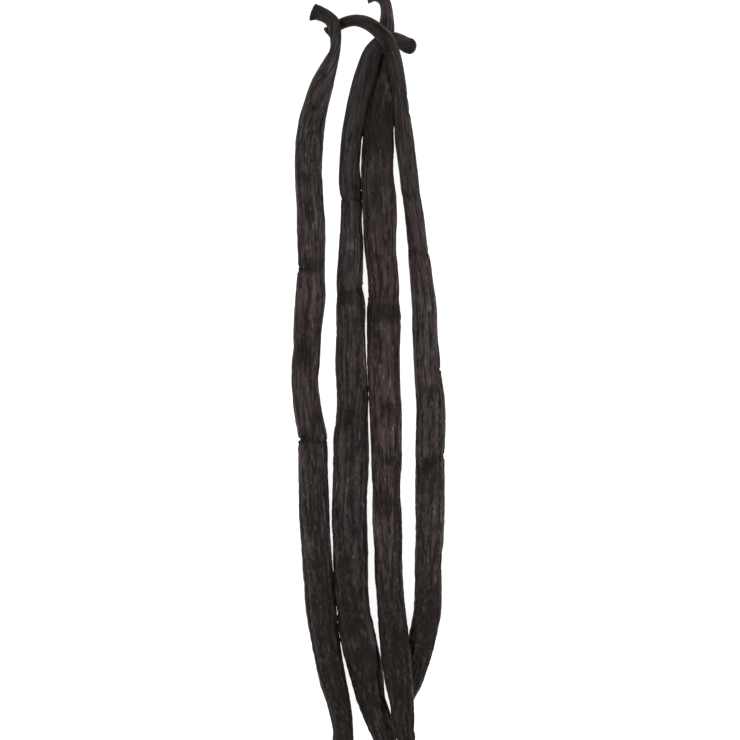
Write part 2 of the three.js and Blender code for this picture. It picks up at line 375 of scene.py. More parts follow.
OUTER_RIGHT = Pod(
    name="outer_right_pod",
    node="pod_outer_right",
    seed=37.0,
    turns=(-0.08, -0.15),
    neck=26.0,
    scar_slant=0.0,
    tip_slant=0.0,
    line=[
        (-10.5, 84.15, 0, 3.5),
        (-8.9, 85.4, 0, 2.7),
        (-6.5, 86.85, 0.6, 2.75),
        (-3.5, 87.4, 2.0, 2.95),
        (-0.6, 86.6, 3.9, 3.35),
        (2.1, 84.65, 5.7, 3.6),
        (4.5, 81.9, 6.2, 3.8),
        (6.1, 78.0, 5.0, 3.8),
        (7.35, 72.0, 3.1, 3.7),
        (8.12, 66.0, 1.6, 3.77),
        (8.98, 57.5, 0.2, 4.63),
        (9.85, 50.0, 0, 4.4),
        (10.35, 45.5, 0, 4.45),
        (11.5, 38.0, 0, 4.6),
        (12.08, 32.0, 0, 4.85),
        (12.7, 27.3, 0, 5.4),
        (13.27, 22.5, 0, 5.5),
        (13.9, 16.0, 0, 6.05),
        (14.1, 8.5, 0, 6.25),
        (14.8, -1.5, 0, 6.7),
        (15.4, -7.5, 0, 6.85),
        (15.5, -13.0, 0, 7.05),
        (15.4, -20.0, 0, 7.15),
        (15.35, -28.0, 0, 7.3),
        (15.3, -33.0, 0, 7.3),
        (15.25, -38.0, 0, 7.0),
        (15.2, -42.5, 0, 6.85),
        (14.9, -46.0, 0, 6.55),
        (14.85, -50.0, 0, 6.45),
        (14.68, -60.5, 0, 6.8),
        (14.1, -63.5, 0, 6.9),
        (12.7, -70.0, 0, 6.75),
        (9.95, -78.5, 0, 6.2),
        (7.7, -84.2, 0, 4.4),
    ],
    tones=[
        Tone(84.0, 0.9, 0.3, 0.7),
        Tone(68.0, 1.1, 0.3, 0.9),
        Tone(50.0, 1.22, 0.3, 0.7),
        Tone(33.0, 1.36, 0.35, 0.55),
        Tone(3.0, 1.25, 0.45, 0.4),
        Tone(-22.0, 1.25, 0.45, 0.8),
        Tone(-52.0, 1.35, 0.4, 0.9),
        Tone(-80.0, 1.2, 0.25, 0.9),
    ],
    folds=[
        NeckMark(20.2, -0.4, 0.3, 0.5, 0.5),
        Mark(68.5, 1.0, 0.45, 0.6, 0.4),
        Mark(64.4, 1.0, 0.35, 0.8, 0.4),
        Mark(43.8, 0.0, 0.15, 0.9),
        Mark(29.3, 1.0, 0.6, 0.8, 0.4),
        Mark(29.6, -0.4, 0.25, 0.7, 0.6, 0.8),
        Mark(0.2, 1.0, 0.5, 0.9, 0.4),
        Mark(-4.6, 0.1, 0.15, 0.8, 0.6),
        Mark(-21.3, 1.0, 0.7, 0.8, 0.4),
        Mark(-23.5, -0.25, 0.5, 1.0, 0.3),
    ],
    dark=[
        NeckMark(9.0, 0.2, 0.45, 6.5),
        NeckMark(14.8, 0.5, 0.6, 1.2, 0.5),
        NeckMark(17.8, -0.2, 0.6, 1.5, 0.4),
        NeckMark(20.5, -0.7, 0.6, 2.0, 0.5),
        Mark(68.7, 0.8, 0.6, 1.1, 0.3),
        Mark(64.5, 0.8, 0.7, 1.3, 0.3),
        Mark(43.8, 0.0, 0.35, 1.8),
        Mark(29.8, -0.5, 0.6, 1.2, 0.5),
        Mark(-4.9, 0.1, 0.4, 1.3, 0.5),
        Mark(-23.7, -0.25, 0.6, 1.7, 0.3),
        Mark(-31.0, -0.25, 0.6, 5.0, 0.12),
        Mark(-72.0, 0.0, 0.5, 20.0),
    ],
    # A painted glow of light through the thin right edge.
    amber=[Mark(-37.5, 0.9, 0.2, 5.0, 0.4)],
    pale=[
        # Painted light on the stem's end, which lies in the shade of the outer left pod's neck.
        NeckMark(0.8, 0.0, 0.6, 1.6),
        NeckMark(21.0, -0.3, 0.6, 0.45, 0.4),
        Mark(65.5, 0.7, 0.6, 3.2, 0.35),
        Mark(15.2, 0.4, 1.2, 0.7, 0.25),
        Mark(10.0, -0.3, 0.3, 9.0, 0.7),
        Mark(-23.2, -0.25, 0.6, 0.4, 0.2),
        Mark(-37.5, 0.85, 0.6, 5.0, 0.3),
    ],
)

PODS = [OUTER_LEFT, INNER_LEFT, INNER_RIGHT, OUTER_RIGHT]

# What the skin tree is given. Lengths are in metres. A spacing is how far apart the marks of a
# pattern are round the pod, and a stretch is how much longer than wide they are.
SKIN_SIZES = {
    "Sides": 100,
    "Rings": 920,
    "Grain Radius": 3.3 * MM,
    "Ridge Spacing": 1.5 * MM,
    "Ridge Stretch": 14.0,
    "Ridge Sharpness": 6.0,
    "Ridge Depth": 0.4 * MM,
    "Wrinkle Spacing": 0.9 * MM,
    "Wrinkle Stretch": 4.5,
    "Wrinkle Sharpness": 4.5,
    "Wrinkle Depth": 0.18 * MM,
    "Crinkle Spacing": 1.6 * MM,
    "Crinkle Stretch": 1.6,
    "Crinkle Sharpness": 5.0,
    "Crinkle Depth": 0.12 * MM,
    "Full Crinkle Reach": 15.0 * MM,
    "Crinkle Reach": 80.0 * MM,
    "Dent Spacing": 4.5 * MM,
    "Dent Stretch": 2.5,
    "Dent Depth": 0.6 * MM,
    "Swelling": 0.2 * MM,
    "Waver Spacing": 1.7 * MM,
    "Waver Stretch": 1.5,
    "Waver Reach": 3.2 * MM,
    "Pucker Spacing": 0.9 * MM,
    "Pucker Stretch": 0.8,
    "Full Crease": 0.4 * MM,
    "End Face": 2.4 * MM,
    "End Face Depth": 0.45 * MM,
    "Tear Spacing": 1.3 * MM,
    "Tear Stretch": 1.0,
    "Tear Reach": 1.6 * MM,
    "Tear Depth": 0.5 * MM,
}

# Every pattern of the skin's relief has a layer of noise of its own, which is added to the pod's
# seed so that no two run alike.
RELIEF_LAYERS = {
    "Ridge": 0.0,
    "Wrinkle": 10.0,
    "Dent": 20.0,
    "Waver": 30.0,
    "Pucker": 40.0,
    "Tear": 50.0,
    "Crinkle": 60.0,
}

SIDES_ON_TOP = 0.3  # how strongly a section's corners crowd towards its top
NOISE_MIDDLE = 0.5  # the mean of every noise
GROOVED_MIDDLE = 0.62  # about that of a grooved pattern, which is 0 in a groove, 1 on a ridge

# A ramp turns low...high into to_low...to_high, and stays level beyond both ends.
Ramp = namedtuple("Ramp", "low high to_low to_high", defaults=(0.0, 1.0))
GROOVES_BY_DENT = Ramp(0.3, 0.65, 0.45, 1.0)  # grooves are fainter in the hollows
CRINKLES_BY_DENT = Ramp(0.45, 0.6, 1.0, 0.4)  # and crinkles are stronger there
CRINKLES_BY_PLACE = Ramp(0.0, 1.0, 0.4, 1.6)  # from the stem's half to the blossom end
PUCKERS = Ramp(0.35, 0.62, 0.3, 1.35)  # how unevenly deep a fold is
OPEN_AIR = Ramp(-1.0, 0.6, 0.15, 1.0)  # the table leaves little of the relief on the underside
AMBER_BACKLIGHT_EDGE = Ramp(0.82, 1.0)  # how near to a pod's edge its painted amber glow of light through the skin begins

# How much painted shade darkens each pattern's grooves, and the end faces.
RIDGE_SHADE = 0.6
WRINKLE_SHADE = 0.4
CRINKLE_SHADE = 0.6
FACE_SHADE = 0.6

# An end face: its depth, as a share of the full one, by the way in from the rim to its middle.
FACE_PROFILE = [(0.0, 0.0), (0.12, 0.05), (0.35, 0.85), (0.65, 1.0), (1.0, 0.6)]
FACE_CENTRE = 0.05  # size of the last ring of an end face, as a share of the section
TEAR_DETAIL = 3.0
TEAR_ROUGHNESS = 0.6
WAVER_DETAIL = 2.0

# A pattern of the skin's colour: the spacing of its marks in millimetres, how much longer than
# wide they are, its own layer of noise, and how fine and how rough it is.
Pattern = namedtuple("Pattern", "spacing stretch layer detail roughness", defaults=(1.0, 0.5))
COLOUR_PATTERNS = {
    "short_streaks": Pattern(1.0, 3.2, 1.0, 2.0),
    "long_streaks": Pattern(0.95, 14.0, 25.0),
    "rosy": Pattern(2.6, 2.4, 5.0),
    # Pale specks mixed with painted highlights.
    "flecks_and_highlights": Pattern(0.5, 3.0, 9.0),
    "fibres": Pattern(0.25, 5.0, 13.0, 2.0, 0.6),
    "blotches": Pattern(3.6, 1.6, 17.0, 2.0, 0.55),
    "scratches": Pattern(0.85, 12.0, 21.0),
    # Painted glints: bright dashes that stand in for highlights on the ridges.
    "glints": Pattern(0.38, 8.0, 29.0),
    "warmth": Pattern(3.0, 2.0, 33.0),
    "cast": Pattern(2.3, 1.6, 37.0),
    "calm": Pattern(4.0, 2.2, 41.0),
}
CONTRAST_BY_RIDGES = Ramp(0.1, 0.9, 0.25, 1.15)  # streaks are faint where the skin is smooth
CONTRAST_BY_CALM = Ramp(0.4, 0.55, 0.7, 1.2)  # and in calm patches
SHORT_SHARE = Ramp(0.0, 1.0, 0.3, 0.8)  # share of short streaks, from the stem's half to the end
# Where the flecks and the painted glints show: pale specks mixed with painted highlights on the
# ridges.
FLECKS_AND_HIGHLIGHTS = Ramp(0.62, 0.75)
GLINTS = Ramp(0.63, 0.72)
FLECKS_AND_HIGHLIGHTS_BY_RIDGES = Ramp(0.2, 0.8, 0.05, 0.8)
# How streaky the pale wear and the painted highlights are.
WEAR_AND_HIGHLIGHTS_BY_STREAKS = Ramp(0.35, 0.6, 0.4, 1.0)
WARMTH = Ramp(0.35, 0.65, -0.3, 0.3)
CAST = Ramp(0.38, 0.62)
ROUGHNESS_BY_STREAKS = Ramp(0.3, 0.7, 0.55, 0.38)  # pale streaks are the smoother ones

# A coat of colour comes in from low to high of its pattern, up to its strength.
Coat = namedtuple("Coat", "low high strength colour")
DEEP_BROWN = (0.012, 0.0078, 0.0061)
STREAK_COAT = Coat(0.39, 0.62, 1.0, (0.068, 0.0485, 0.0430))
ROSY_COAT = Coat(0.48, 0.66, 0.6, (0.044, 0.0283, 0.0262))
BLOTCH_COAT = Coat(0.52, 0.7, 0.6, (0.021, 0.0137, 0.0090))
# Painted shade in the grooves between the ridges.
GROOVE_SHADE_COAT = Coat(0.52, 0.92, 0.85, (0.009, 0.0058, 0.0042))
SCRATCH_COAT = Coat(0.6, 0.67, 0.8, (0.008, 0.0052, 0.0040))
# Pale specks mixed with painted highlights.
FLECK_AND_HIGHLIGHT_COLOUR = (0.135, 0.113, 0.102)

# A colour is laid on where the pod's marks or folds are: dark stains mixed with painted shade,
# painted shade in the creases, a painted amber glow through thin edges, and pale wear mixed with
# painted highlights.
Overlay = namedtuple("Overlay", "strength colour")
# Pale wear mixed with painted highlights.
PALE_WEAR_AND_HIGHLIGHTS = Overlay(0.8, (0.105, 0.090, 0.083))
# Dark stains mixed with painted shade.
DARK_STAIN_AND_SHADE = Overlay(1.0, (0.010, 0.0060, 0.0036))
# Painted shade in the fold creases and on the end faces.
PAINTED_CREASE_SHADE = Overlay(0.7, (0.007, 0.0046, 0.0034))
# A painted amber glow of light through thin edges.
AMBER_BACKLIGHT = Overlay(0.9, (0.16, 0.040, 0.014))

# Tints that the skin's colour is multiplied by.
ASHEN_TINT = (0.93, 1.02, 1.13)
RUST_TINT = (1.06, 0.99, 0.93)
GREENISH_TINT = (0.92, 1.05, 0.97)
PINKISH_TINT = (1.06, 0.96, 1.05)

SKIN_SPECULAR = 0.14
SKIN_SHEEN = 0.07
SKIN_SHEEN_ROUGHNESS = 0.3
FIBRE_HEIGHT = 0.4  # of the fibres in the fine bump, next to the streaks
BUMP_DISTANCE = 0.08 * MM
BUMP_STRENGTH = 0.6

TABLE_HALF = 3.0
TABLE_WHITE = 0.8
TABLE_ROUGHNESS = 0.9
TABLE_SPECULAR = 0.1
TABLE_GLOW = 0.85

# Lights and camera, in metres and watts.
WHITE = (1.0, 1.0, 1.0)
SKY_STRENGTH = 0.42
SOFTBOX_WIDTH = 0.3
SOFTBOX_LENGTH = 0.9
SOFTBOX_HEIGHT = 0.6
SOFTBOXES = {"left_softbox": (-0.55, 2.15), "right_softbox": (0.55, 2.25)}  # place in x, power
CAMERA_HEIGHT = 0.9
CAMERA_PLACE = (0.4275 * MM, -0.53 * MM)
SENSOR_WIDTH = 36.0  # the one size here in millimetres
VIEW_WIDTH = 0.185  # how wide the view is at the height of the pods' edges
EDGE_HEIGHT = 0.003


class PodLine:
    """A smooth curve through rows of numbers, by distance along the table in millimetres."""

    def __init__(self, rows):
        self.rows = rows
        self.knots = [0.0]
        for before, after in zip(rows, rows[1:]):
            step = math.hypot(after[0] - before[0], after[1] - before[1])
            self.knots.append(self.knots[-1] + step)
        self.length = self.knots[-1]

    def slope(self, i, column):
        before = max(i - 1, 0)
        after = min(i + 1, len(self.rows) - 1)
        change = self.rows[after][column] - self.rows[before][column]
        return change / (self.knots[after] - self.knots[before])

    def at(self, distance):
        """The row at a distance along the line, by cubic Hermite interpolation."""
        following = max(1, min(bisect_left(self.knots, distance), len(self.rows) - 1))
        here = following - 1
        gap = self.knots[following] - self.knots[here]
        t = (distance - self.knots[here]) / gap
        row = []
        for column, value in enumerate(self.rows[here]):
            change = self.rows[following][column] - value
            leaving = self.slope(here, column) * t * (1 - t) ** 2
            arriving = self.slope(following, column) * t * t * (t - 1)
            row.append(value + change * t * t * (3 - 2 * t) + gap * (leaving + arriving))
        return row

    def distance_at_y(self, y):
        """How far along the line the pod's body, below its hook, passes a given y."""
        above = max(i for i, row in enumerate(self.rows[:-1]) if row[1] > y)
        top, bottom = self.rows[above][1], self.rows[above + 1][1]
        share = (top - y) / (top - bottom)
        return self.knots[above] + share * (self.knots[above + 1] - self.knots[above])


def thickness_of(width):
    return min(NECK_ROUNDNESS * width, FLESH_BASE + FLESH_SHARE * width)


def sharp(away):
    """The profile of a fold: a crease with shoulders that fall off on both sides."""
    return math.exp(-abs(away))


def soft(away):
    """The profile of a stain or a worn patch."""
    return 1 / (1 + away**6)


def lane_strengths(marks, profile, line, distance):
    """How strong the marks are in each lane at a distance along the line."""
    strengths = [0.0] * LANES
    for mark in marks:
        on_neck = isinstance(mark, NeckMark)
        middle = mark.distance if on_neck else line.distance_at_y(mark.y)
        for lane in range(LANES):
            across = 2 * lane / (LANES - 1) - 1
            along_mark = (distance - middle - mark.slant * across) / mark.reach
            from_mark = (across - mark.across) / mark.spread
            strengths[lane] += mark.strength * profile(along_mark) * soft(from_mark)
    return strengths


def tone_at(tones, y):
    """The skin's lightness, warmth and streaks at a y, blended from the tones above and below."""
    y = max(tones[-1].y, min(tones[0].y, y))
    below = next(i for i, tone in enumerate(tones[1:], 1) if tone.y <= y)
    upper, lower = tones[below - 1], tones[below]
    share = (upper.y - y) / (upper.y - lower.y)
    return [above + share * (under - above) for above, under in zip(upper[1:], lower[1:])]


def ridge_share(pod, distance, width):
    """How deep the ridges are, as a share of their full depth."""
    by_width = max(LEAST_RIDGES, min(1.0, width / RIDGED_WIDTH))
    past_neck = max(0.0, min(1.0, (distance - pod.neck) / NECK_FADE))
    return by_width * (SMOOTH_NECK + (1 - SMOOTH_NECK) * past_neck)


def grain_turn(pod, line, distance):
    """The angle that the grain has wound round the pod at a distance along the line."""
    body, hook = pod.turns
    near_stem = max(0.0, 1 - distance / HOOK_TURN_REACH)
    return 2 * math.pi * (body * distance / line.length + hook * near_stem**2)


def line_object(pod):
    """The pod's line as a chain of edges, with what the skin tree needs at each of its points."""
    line = PodLine(pod.line)
    kinds = {
        "bite": (pod.folds, sharp, MM),
        "dark": (pod.dark, soft, 1.0),
        "amber": (pod.amber, soft, 1.0),
        "pale": (pod.pale, soft, 1.0),
    }
    points = []
    sizes = []
    shades = []
    numbers = {"turn": []}
    for name in kinds:
        numbers.update({f"{name}_{lane}": [] for lane in range(LANES)})
    steps = round(line.length / LINE_STEP)
    for step in range(steps + 1):
        distance = line.length * step / steps
        x, y, lift, width = line.at(distance)
        high = thickness_of(width) / 2
        bottom = lift - TABLE_FLAT
        points.append([(x - MIDDLE[0]) * MM, (y - MIDDLE[1]) * MM, (high + bottom) * MM])
        sizes += [width / 2 * MM, high * MM, ridge_share(pod, distance, width)]
        shades += tone_at(pod.tones, y)
        numbers["turn"].append(grain_turn(pod, line, distance))
        for name, (marks, profile, unit) in kinds.items():
            for lane, strength in enumerate(lane_strengths(marks, profile, line, distance)):
                numbers[f"{name}_{lane}"].append(strength * unit)
    mesh = bpy.data.meshes.new(pod.name)
    mesh.from_pydata(points, [(i, i + 1) for i in range(steps)], [])
    mesh.attributes.new("size", "FLOAT_VECTOR", "POINT").data.foreach_set("vector", sizes)
    mesh.attributes.new("tone", "FLOAT_VECTOR", "POINT").data.foreach_set("vector", shades)
    for name, values in numbers.items():
        mesh.attributes.new(name, "FLOAT", "POINT").data.foreach_set("value", values)
    piece = bpy.data.objects.new(pod.name, mesh)
    bpy.context.scene.collection.objects.link(piece)
    return piece


class Nodes:
    """Adds nodes to a tree. An input takes a plain value or another node's socket."""

    def __init__(self, tree):
        self.tree = tree

    def fill(self, socket, value):
        """Gives a socket a plain value, or joins another node's output to it."""
        if isinstance(value, bpy.types.NodeSocket):
            self.tree.links.new(value, socket)
        else:
            socket.default_value = value

    def add(self, kind, inputs=(), **settings):
        node = self.tree.nodes.new(kind)
        for name, value in settings.items():
            setattr(node, name, value)
        for socket, value in dict(inputs).items():
            self.fill(node.inputs[socket], value)
        return node

    def math(self, operation, *values, clamp=False):
        node = self.add("ShaderNodeMath", enumerate(values), operation=operation, use_clamp=clamp)
        return node.outputs[0]

    def vector(self, operation, *values):
        node = self.add("ShaderNodeVectorMath", enumerate(values), operation=operation)
        return node.outputs["Vector"]

    def length(self, vector):
        node = self.add("ShaderNodeVectorMath", {0: vector}, operation="LENGTH")
        return node.outputs["Value"]

    def scaled(self, vector, scale):
        node = self.add("ShaderNodeVectorMath", {0: vector, "Scale": scale}, operation="SCALE")
        return node.outputs["Vector"]

    def combined(self, x, y, z):
        return self.add("ShaderNodeCombineXYZ", {0: x, 1: y, 2: z}).outputs[0]

    def separated(self, vector):
        return self.add("ShaderNodeSeparateXYZ", {0: vector}).outputs

    def total(self, first, *others):
        for other in others:
            first = self.vector("ADD", first, other)
        return first

    def product(self, first, *others):
        for other in others:
            first = self.math("MULTIPLY", first, other)
        return first

    def ramp(self, value, low, high, to_low=0.0, to_high=1.0, smooth=False):
        """Value carried from low...high to to_low...to_high, and held at both ends."""
        inputs = {0: value, 1: low, 2: high, 3: to_low, 4: to_high}
        course = "SMOOTHSTEP" if smooth else "LINEAR"
        return self.add("ShaderNodeMapRange", inputs, interpolation_type=course).outputs[0]

    def noise(self, point, layer, detail=1.0, roughness=0.5):
        inputs = {"Vector": point, "W": layer, "Scale": 1.0, "Detail": detail, "Roughness": roughness}
        return self.add("ShaderNodeTexNoise", inputs, noise_dimensions="4D").outputs[0]

    def cells(self, grain, spacing, stretch):
        """Grain coordinates in cells of a spacing round the pod, stretched along it."""
        along = self.math("MULTIPLY", spacing, stretch)
        return self.vector("DIVIDE", grain, self.combined(spacing, spacing, along))

    def blended(self, factor, first, second):
        """Two colours mixed. The mix node's sockets 6 and 7 are its colours, and so is output 2."""
        mix = self.add("ShaderNodeMix", {0: factor}, data_type="RGBA")
        for number, colour in ((6, first), (7, second)):
            plain = isinstance(colour, tuple)
            self.fill(mix.inputs[number], (*colour, 1.0) if plain else colour)
        return mix.outputs[2]

    def coated(self, colour, pattern, coat):
        share = self.ramp(pattern, coat.low, coat.high, 0.0, coat.strength)
        return self.blended(share, colour, coat.colour)

    def overlaid(self, colour, amount, stain_and_painted_light):
        share = self.math("MULTIPLY", amount, stain_and_painted_light.strength, clamp=True)
        return self.blended(share, colour, stain_and_painted_light.colour)


class SkinTree:
    """The Geometry Nodes tree that grows a pod's skin round its line.

    It bends a plain tube. Each corner of the tube has an angle round the pod and a distance along
    the line, and goes to that place on the pod's section, raised by the relief of the skin.
    """

    def __init__(self):
        self.tree = bpy.data.node_groups.new("pod_skin", "GeometryNodeTree")
        self.add_sockets()
        self.g = Nodes(self.tree)
        self.given = self.g.add("NodeGroupInput").outputs
        self.curve = self.g.add("GeometryNodeMeshToCurve", {0: self.given["Line"]}).outputs[0]
        self.lay_out_tube()
        self.lay_grain()
        self.lay_lanes()
        self.carve_relief()
        settled = self.settled(self.end_inset())
        mesh = self.with_attributes(self.plain_tube())
        self.finish(mesh, settled)

    def add_sockets(self):
        kinds = {"Line": "NodeSocketGeometry"}
        for name, value in SKIN_SIZES.items():
            kinds[name] = "NodeSocketInt" if isinstance(value, int) else "NodeSocketFloat"
        for name in ("Seed", "Scar Slant", "Tip Slant"):
            kinds[name] = "NodeSocketFloat"
        kinds["Skin"] = "NodeSocketMaterial"
        for name, kind in kinds.items():
            self.tree.interface.new_socket(name, in_out="INPUT", socket_type=kind)
        self.tree.interface.new_socket("Pod", in_out="OUTPUT", socket_type="NodeSocketGeometry")

    def plain_tube(self):
        sizes = {"Vertices": self.given["Sides"], "Side Segments": self.given["Rings"]}
        inputs = dict(sizes, Radius=1.0, Depth=1.0)
        return self.g.add("GeometryNodeMeshCylinder", inputs, fill_type="TRIANGLE_FAN").outputs[0]

    def lay_out_tube(self):
        """Each corner's angle round the pod, its distance along the line, and what is there.

        The rings before the line's start and after its end make the two end faces.
        """
        g = self.g
        length = g.add("GeometryNodeCurveLength", {0: self.curve}).outputs[0]
        tube_x, tube_y, tube_z = g.separated(g.add("GeometryNodeInputPosition").outputs[0])
        even_angle = g.math("ARCTAN2", tube_y, tube_x)
        crowding = g.math("MULTIPLY", g.math("COSINE", even_angle), SIDES_ON_TOP)
        self.angle = g.math("ADD", even_angle, crowding)
        self.cosine = g.math("COSINE", self.angle)
        self.sine = g.math("SINE", self.angle)

        end_face = self.given["End Face"]
        before = g.math("MULTIPLY", end_face, -1.0)
        after = g.math("ADD", length, end_face)
        run = g.ramp(tube_z, -0.5, 0.5, before, after)
        self.distance = g.math("MINIMUM", g.math("MAXIMUM", run, 0.0), length)
        self.from_end = g.math("SUBTRACT", length, self.distance)
        on_stem_face = g.math("DIVIDE", g.math("SUBTRACT", self.distance, run), end_face, clamp=True)
        on_tip_face = g.math("DIVIDE", g.math("SUBTRACT", run, self.distance), end_face, clamp=True)
        self.face = g.math("ADD", on_stem_face, on_tip_face)
        off_centre = g.length(g.combined(tube_x, tube_y, 0.0))
        self.size = g.math("MULTIPLY", g.ramp(self.face, 0.0, 1.0, 1.0, FACE_CENTRE), off_centre)

        inputs = {"Curves": self.curve, "Length": self.distance}
        place = g.add("GeometryNodeSampleCurve", inputs, mode="LENGTH")
        self.middle = place.outputs["Position"]
        self.along = place.outputs["Tangent"]
        self.across = g.vector("NORMALIZE", g.vector("CROSS_PRODUCT", (0.0, 0.0, 1.0), self.along))
        self.up = g.vector("CROSS_PRODUCT", self.along, self.across)
        self.wide, self.high, self.ridged = g.separated(self.on_line("size", self.distance))

    def on_line(self, name, distance, kind="FLOAT_VECTOR"):
        """What the line holds under a name, at a distance along it."""
        attribute = self.g.add("GeometryNodeInputNamedAttribute", {"Name": name}, data_type=kind)
        inputs = {"Curves": self.curve, "Value": attribute.outputs[0], "Length": distance}
        sample = self.g.add("GeometryNodeSampleCurve", inputs, data_type=kind, mode="LENGTH")
        return sample.outputs[0]

    def lay_grain(self):
        """The grain: coordinates that follow the skin round and along the pod."""
        g = self.g
        turned = g.math("ADD", self.angle, self.on_line("turn", self.distance, "FLOAT"))
        radius = self.given["Grain Radius"]
        grain_x = g.math("MULTIPLY", radius, g.math("COSINE", turned))
        grain_y = g.math("MULTIPLY", radius, g.math("SINE", turned))
        self.grain = g.combined(grain_x, grain_y, self.distance)

    def lay_lanes(self):
        """How near each lane is, and the distance at which marks are read, which wavers."""
        g = self.g
        waver = g.math("SUBTRACT", self.pattern("Waver", WAVER_DETAIL), NOISE_MIDDLE)
        wavering = g.math("MULTIPLY", waver, self.given["Waver Reach"])
        self.wavered = g.math("ADD", self.distance, wavering)
        lane_place = g.ramp(self.cosine, -1.0, 1.0, 0.0, LANES - 1.0)
        self.lane_shares = []
        for lane in range(LANES):
            from_lane = g.math("ABSOLUTE", g.math("SUBTRACT", lane_place, float(lane)))
            self.lane_shares.append(g.ramp(from_lane, 0.0, 1.0, 1.0, 0.0, smooth=True))

    def marked(self, name):
        """How strong the marks of a kind are, blended from the lanes on both sides."""
        mark = 0.0
        for lane, share in enumerate(self.lane_shares):
            strength = self.on_line(f"{name}_{lane}", self.wavered, "FLOAT")
            mark = self.g.math("MULTIPLY_ADD", strength, share, mark)
        return mark

    def pattern(self, name, detail=1.0, roughness=0.5):
        """A noise along the grain."""
        given = self.given
        point = self.g.cells(self.grain, given[f"{name} Spacing"], given[f"{name} Stretch"])
        layer = self.g.math("ADD", given["Seed"], RELIEF_LAYERS[name])
        return self.g.noise(point, layer, detail, roughness)

    def grooved(self, name):
        """Rounded ridges between sharp grooves, which come and go along the pod."""
        g = self.g
        from_groove = g.math("ABSOLUTE", g.math("SUBTRACT", self.pattern(name), NOISE_MIDDLE))
        level = g.math("MULTIPLY", from_groove, self.given[f"{name} Sharpness"], clamp=True)
        return g.math("SINE", g.math("MULTIPLY", level, math.pi / 2))

    def raised(self, pattern, middle, name):
        """A pattern's height, which is as often above the section's outline as below it."""
        height = self.g.math("SUBTRACT", pattern, middle)
        return self.g.math("MULTIPLY", height, self.given[f"{name} Depth"])

    def carve_relief(self):
        """The height of the skin, with its ridges, wrinkles, crinkles, dents and folds."""
        g = self.g
        ridge = self.grooved("Ridge")
        wrinkle = self.grooved("Wrinkle")
        dent = self.pattern("Dent")
        self.presence = g.ramp(dent, *GROOVES_BY_DENT)
        full_reach = self.given["Full Crinkle Reach"]
        self.wavy = g.ramp(self.from_end, full_reach, self.given["Crinkle Reach"], 1.0, 0.0)
        crinkle = g.math("SUBTRACT", self.grooved("Crinkle"), 1.0)
        crinkle = g.math("MULTIPLY", crinkle, g.ramp(dent, *CRINKLES_BY_DENT))
        crinkle = g.math("MULTIPLY", crinkle, g.ramp(self.wavy, *CRINKLES_BY_PLACE))
        puckers = g.ramp(self.pattern("Pucker"), *PUCKERS)
        self.fold = g.math("MULTIPLY", self.marked("bite"), puckers)

        ridge_height = self.raised(ridge, GROOVED_MIDDLE, "Ridge")
        wrinkle_height = self.raised(wrinkle, GROOVED_MIDDLE, "Wrinkle")
        dent_height = self.raised(dent, NOISE_MIDDLE, "Dent")
        grooves = g.math("MULTIPLY", g.math("ADD", ridge_height, wrinkle_height), self.presence)
        grooves = g.math("MULTIPLY_ADD", crinkle, self.given["Crinkle Depth"], grooves)
        relief = g.math("ADD", g.math("ADD", grooves, dent_height), self.given["Swelling"])
        kept = g.math("MULTIPLY", self.ridged, g.ramp(self.sine, *OPEN_AIR))
        self.relief = g.math("SUBTRACT", g.math("MULTIPLY", relief, kept), self.fold)

        # Painted shade for the grooves, which the material lays on.
        shade = g.math("MULTIPLY_ADD", ridge, -RIDGE_SHADE, 1.0)
        shade = g.math("MULTIPLY_ADD", wrinkle, -WRINKLE_SHADE, shade)
        self.groove_shade = g.math("MULTIPLY_ADD", crinkle, -CRINKLE_SHADE, shade)

    def end_inset(self):
        """How far the end faces are drawn in: dished behind an uneven, torn rim, at a slant."""
        g = self.g
        dish = g.add("ShaderNodeFloatCurve", {"Value": self.face})
        points = dish.mapping.curves[0].points
        points[0].location = FACE_PROFILE[0]
        points[1].location = FACE_PROFILE[-1]
        for way_in, depth in FACE_PROFILE[1:-1]:
            points.new(way_in, depth)
        dished = g.math("MULTIPLY", dish.outputs[0], self.given["End Face Depth"])
        torn = self.pattern("Tear", TEAR_DETAIL, TEAR_ROUGHNESS)
        rim = g.math("ADD", dished, g.math("MULTIPLY", torn, self.given["Tear Depth"]))
        insets = []
        ends = (
            (self.distance, self.cosine, "Scar Slant"),
            (self.from_end, self.sine, "Tip Slant"),
        )
        for away, side, slant in ends:
            near = g.ramp(away, 0.0, self.given["Tear Reach"], 1.0, 0.0)
            slanted = g.product(side, self.size, self.given[slant])
            insets.append(g.math("MULTIPLY", g.math("ADD", rim, slanted), near))
        return g.math("SUBTRACT", *insets)

    def settled(self, inset):
        """Where each corner goes, and never below the table."""
        g = self.g
        out_x = g.scaled(self.across, g.product(self.wide, self.cosine, self.size))
        out_z = g.scaled(self.up, g.product(self.high, self.sine, self.size))
        leaning_x = g.scaled(self.across, g.math("MULTIPLY", self.high, self.cosine))
        leaning_z = g.scaled(self.up, g.math("MULTIPLY", self.wide, self.sine))
        normal = g.vector("NORMALIZE", g.vector("ADD", leaning_x, leaning_z))
        raised = g.scaled(normal, g.math("MULTIPLY", self.relief, self.size))
        point = g.total(self.middle, out_x, out_z, raised, g.scaled(self.along, inset))
        x, y, z = g.separated(point)
        return g.combined(x, y, g.math("MAXIMUM", z, 0.0))

    def with_attributes(self, mesh):
        """The tube with what the skin's material reads: grain, grooves, stains with painted light and
        shade, and tone.
        """
        g = self.g
        # Where painted shade goes: the fold creases and the end faces.
        crease = g.math("DIVIDE", self.fold, self.given["Full Crease"])
        creased = g.math("MULTIPLY_ADD", self.face, FACE_SHADE, crease, clamp=True)
        ridges = g.math("MULTIPLY", self.presence, self.ridged)
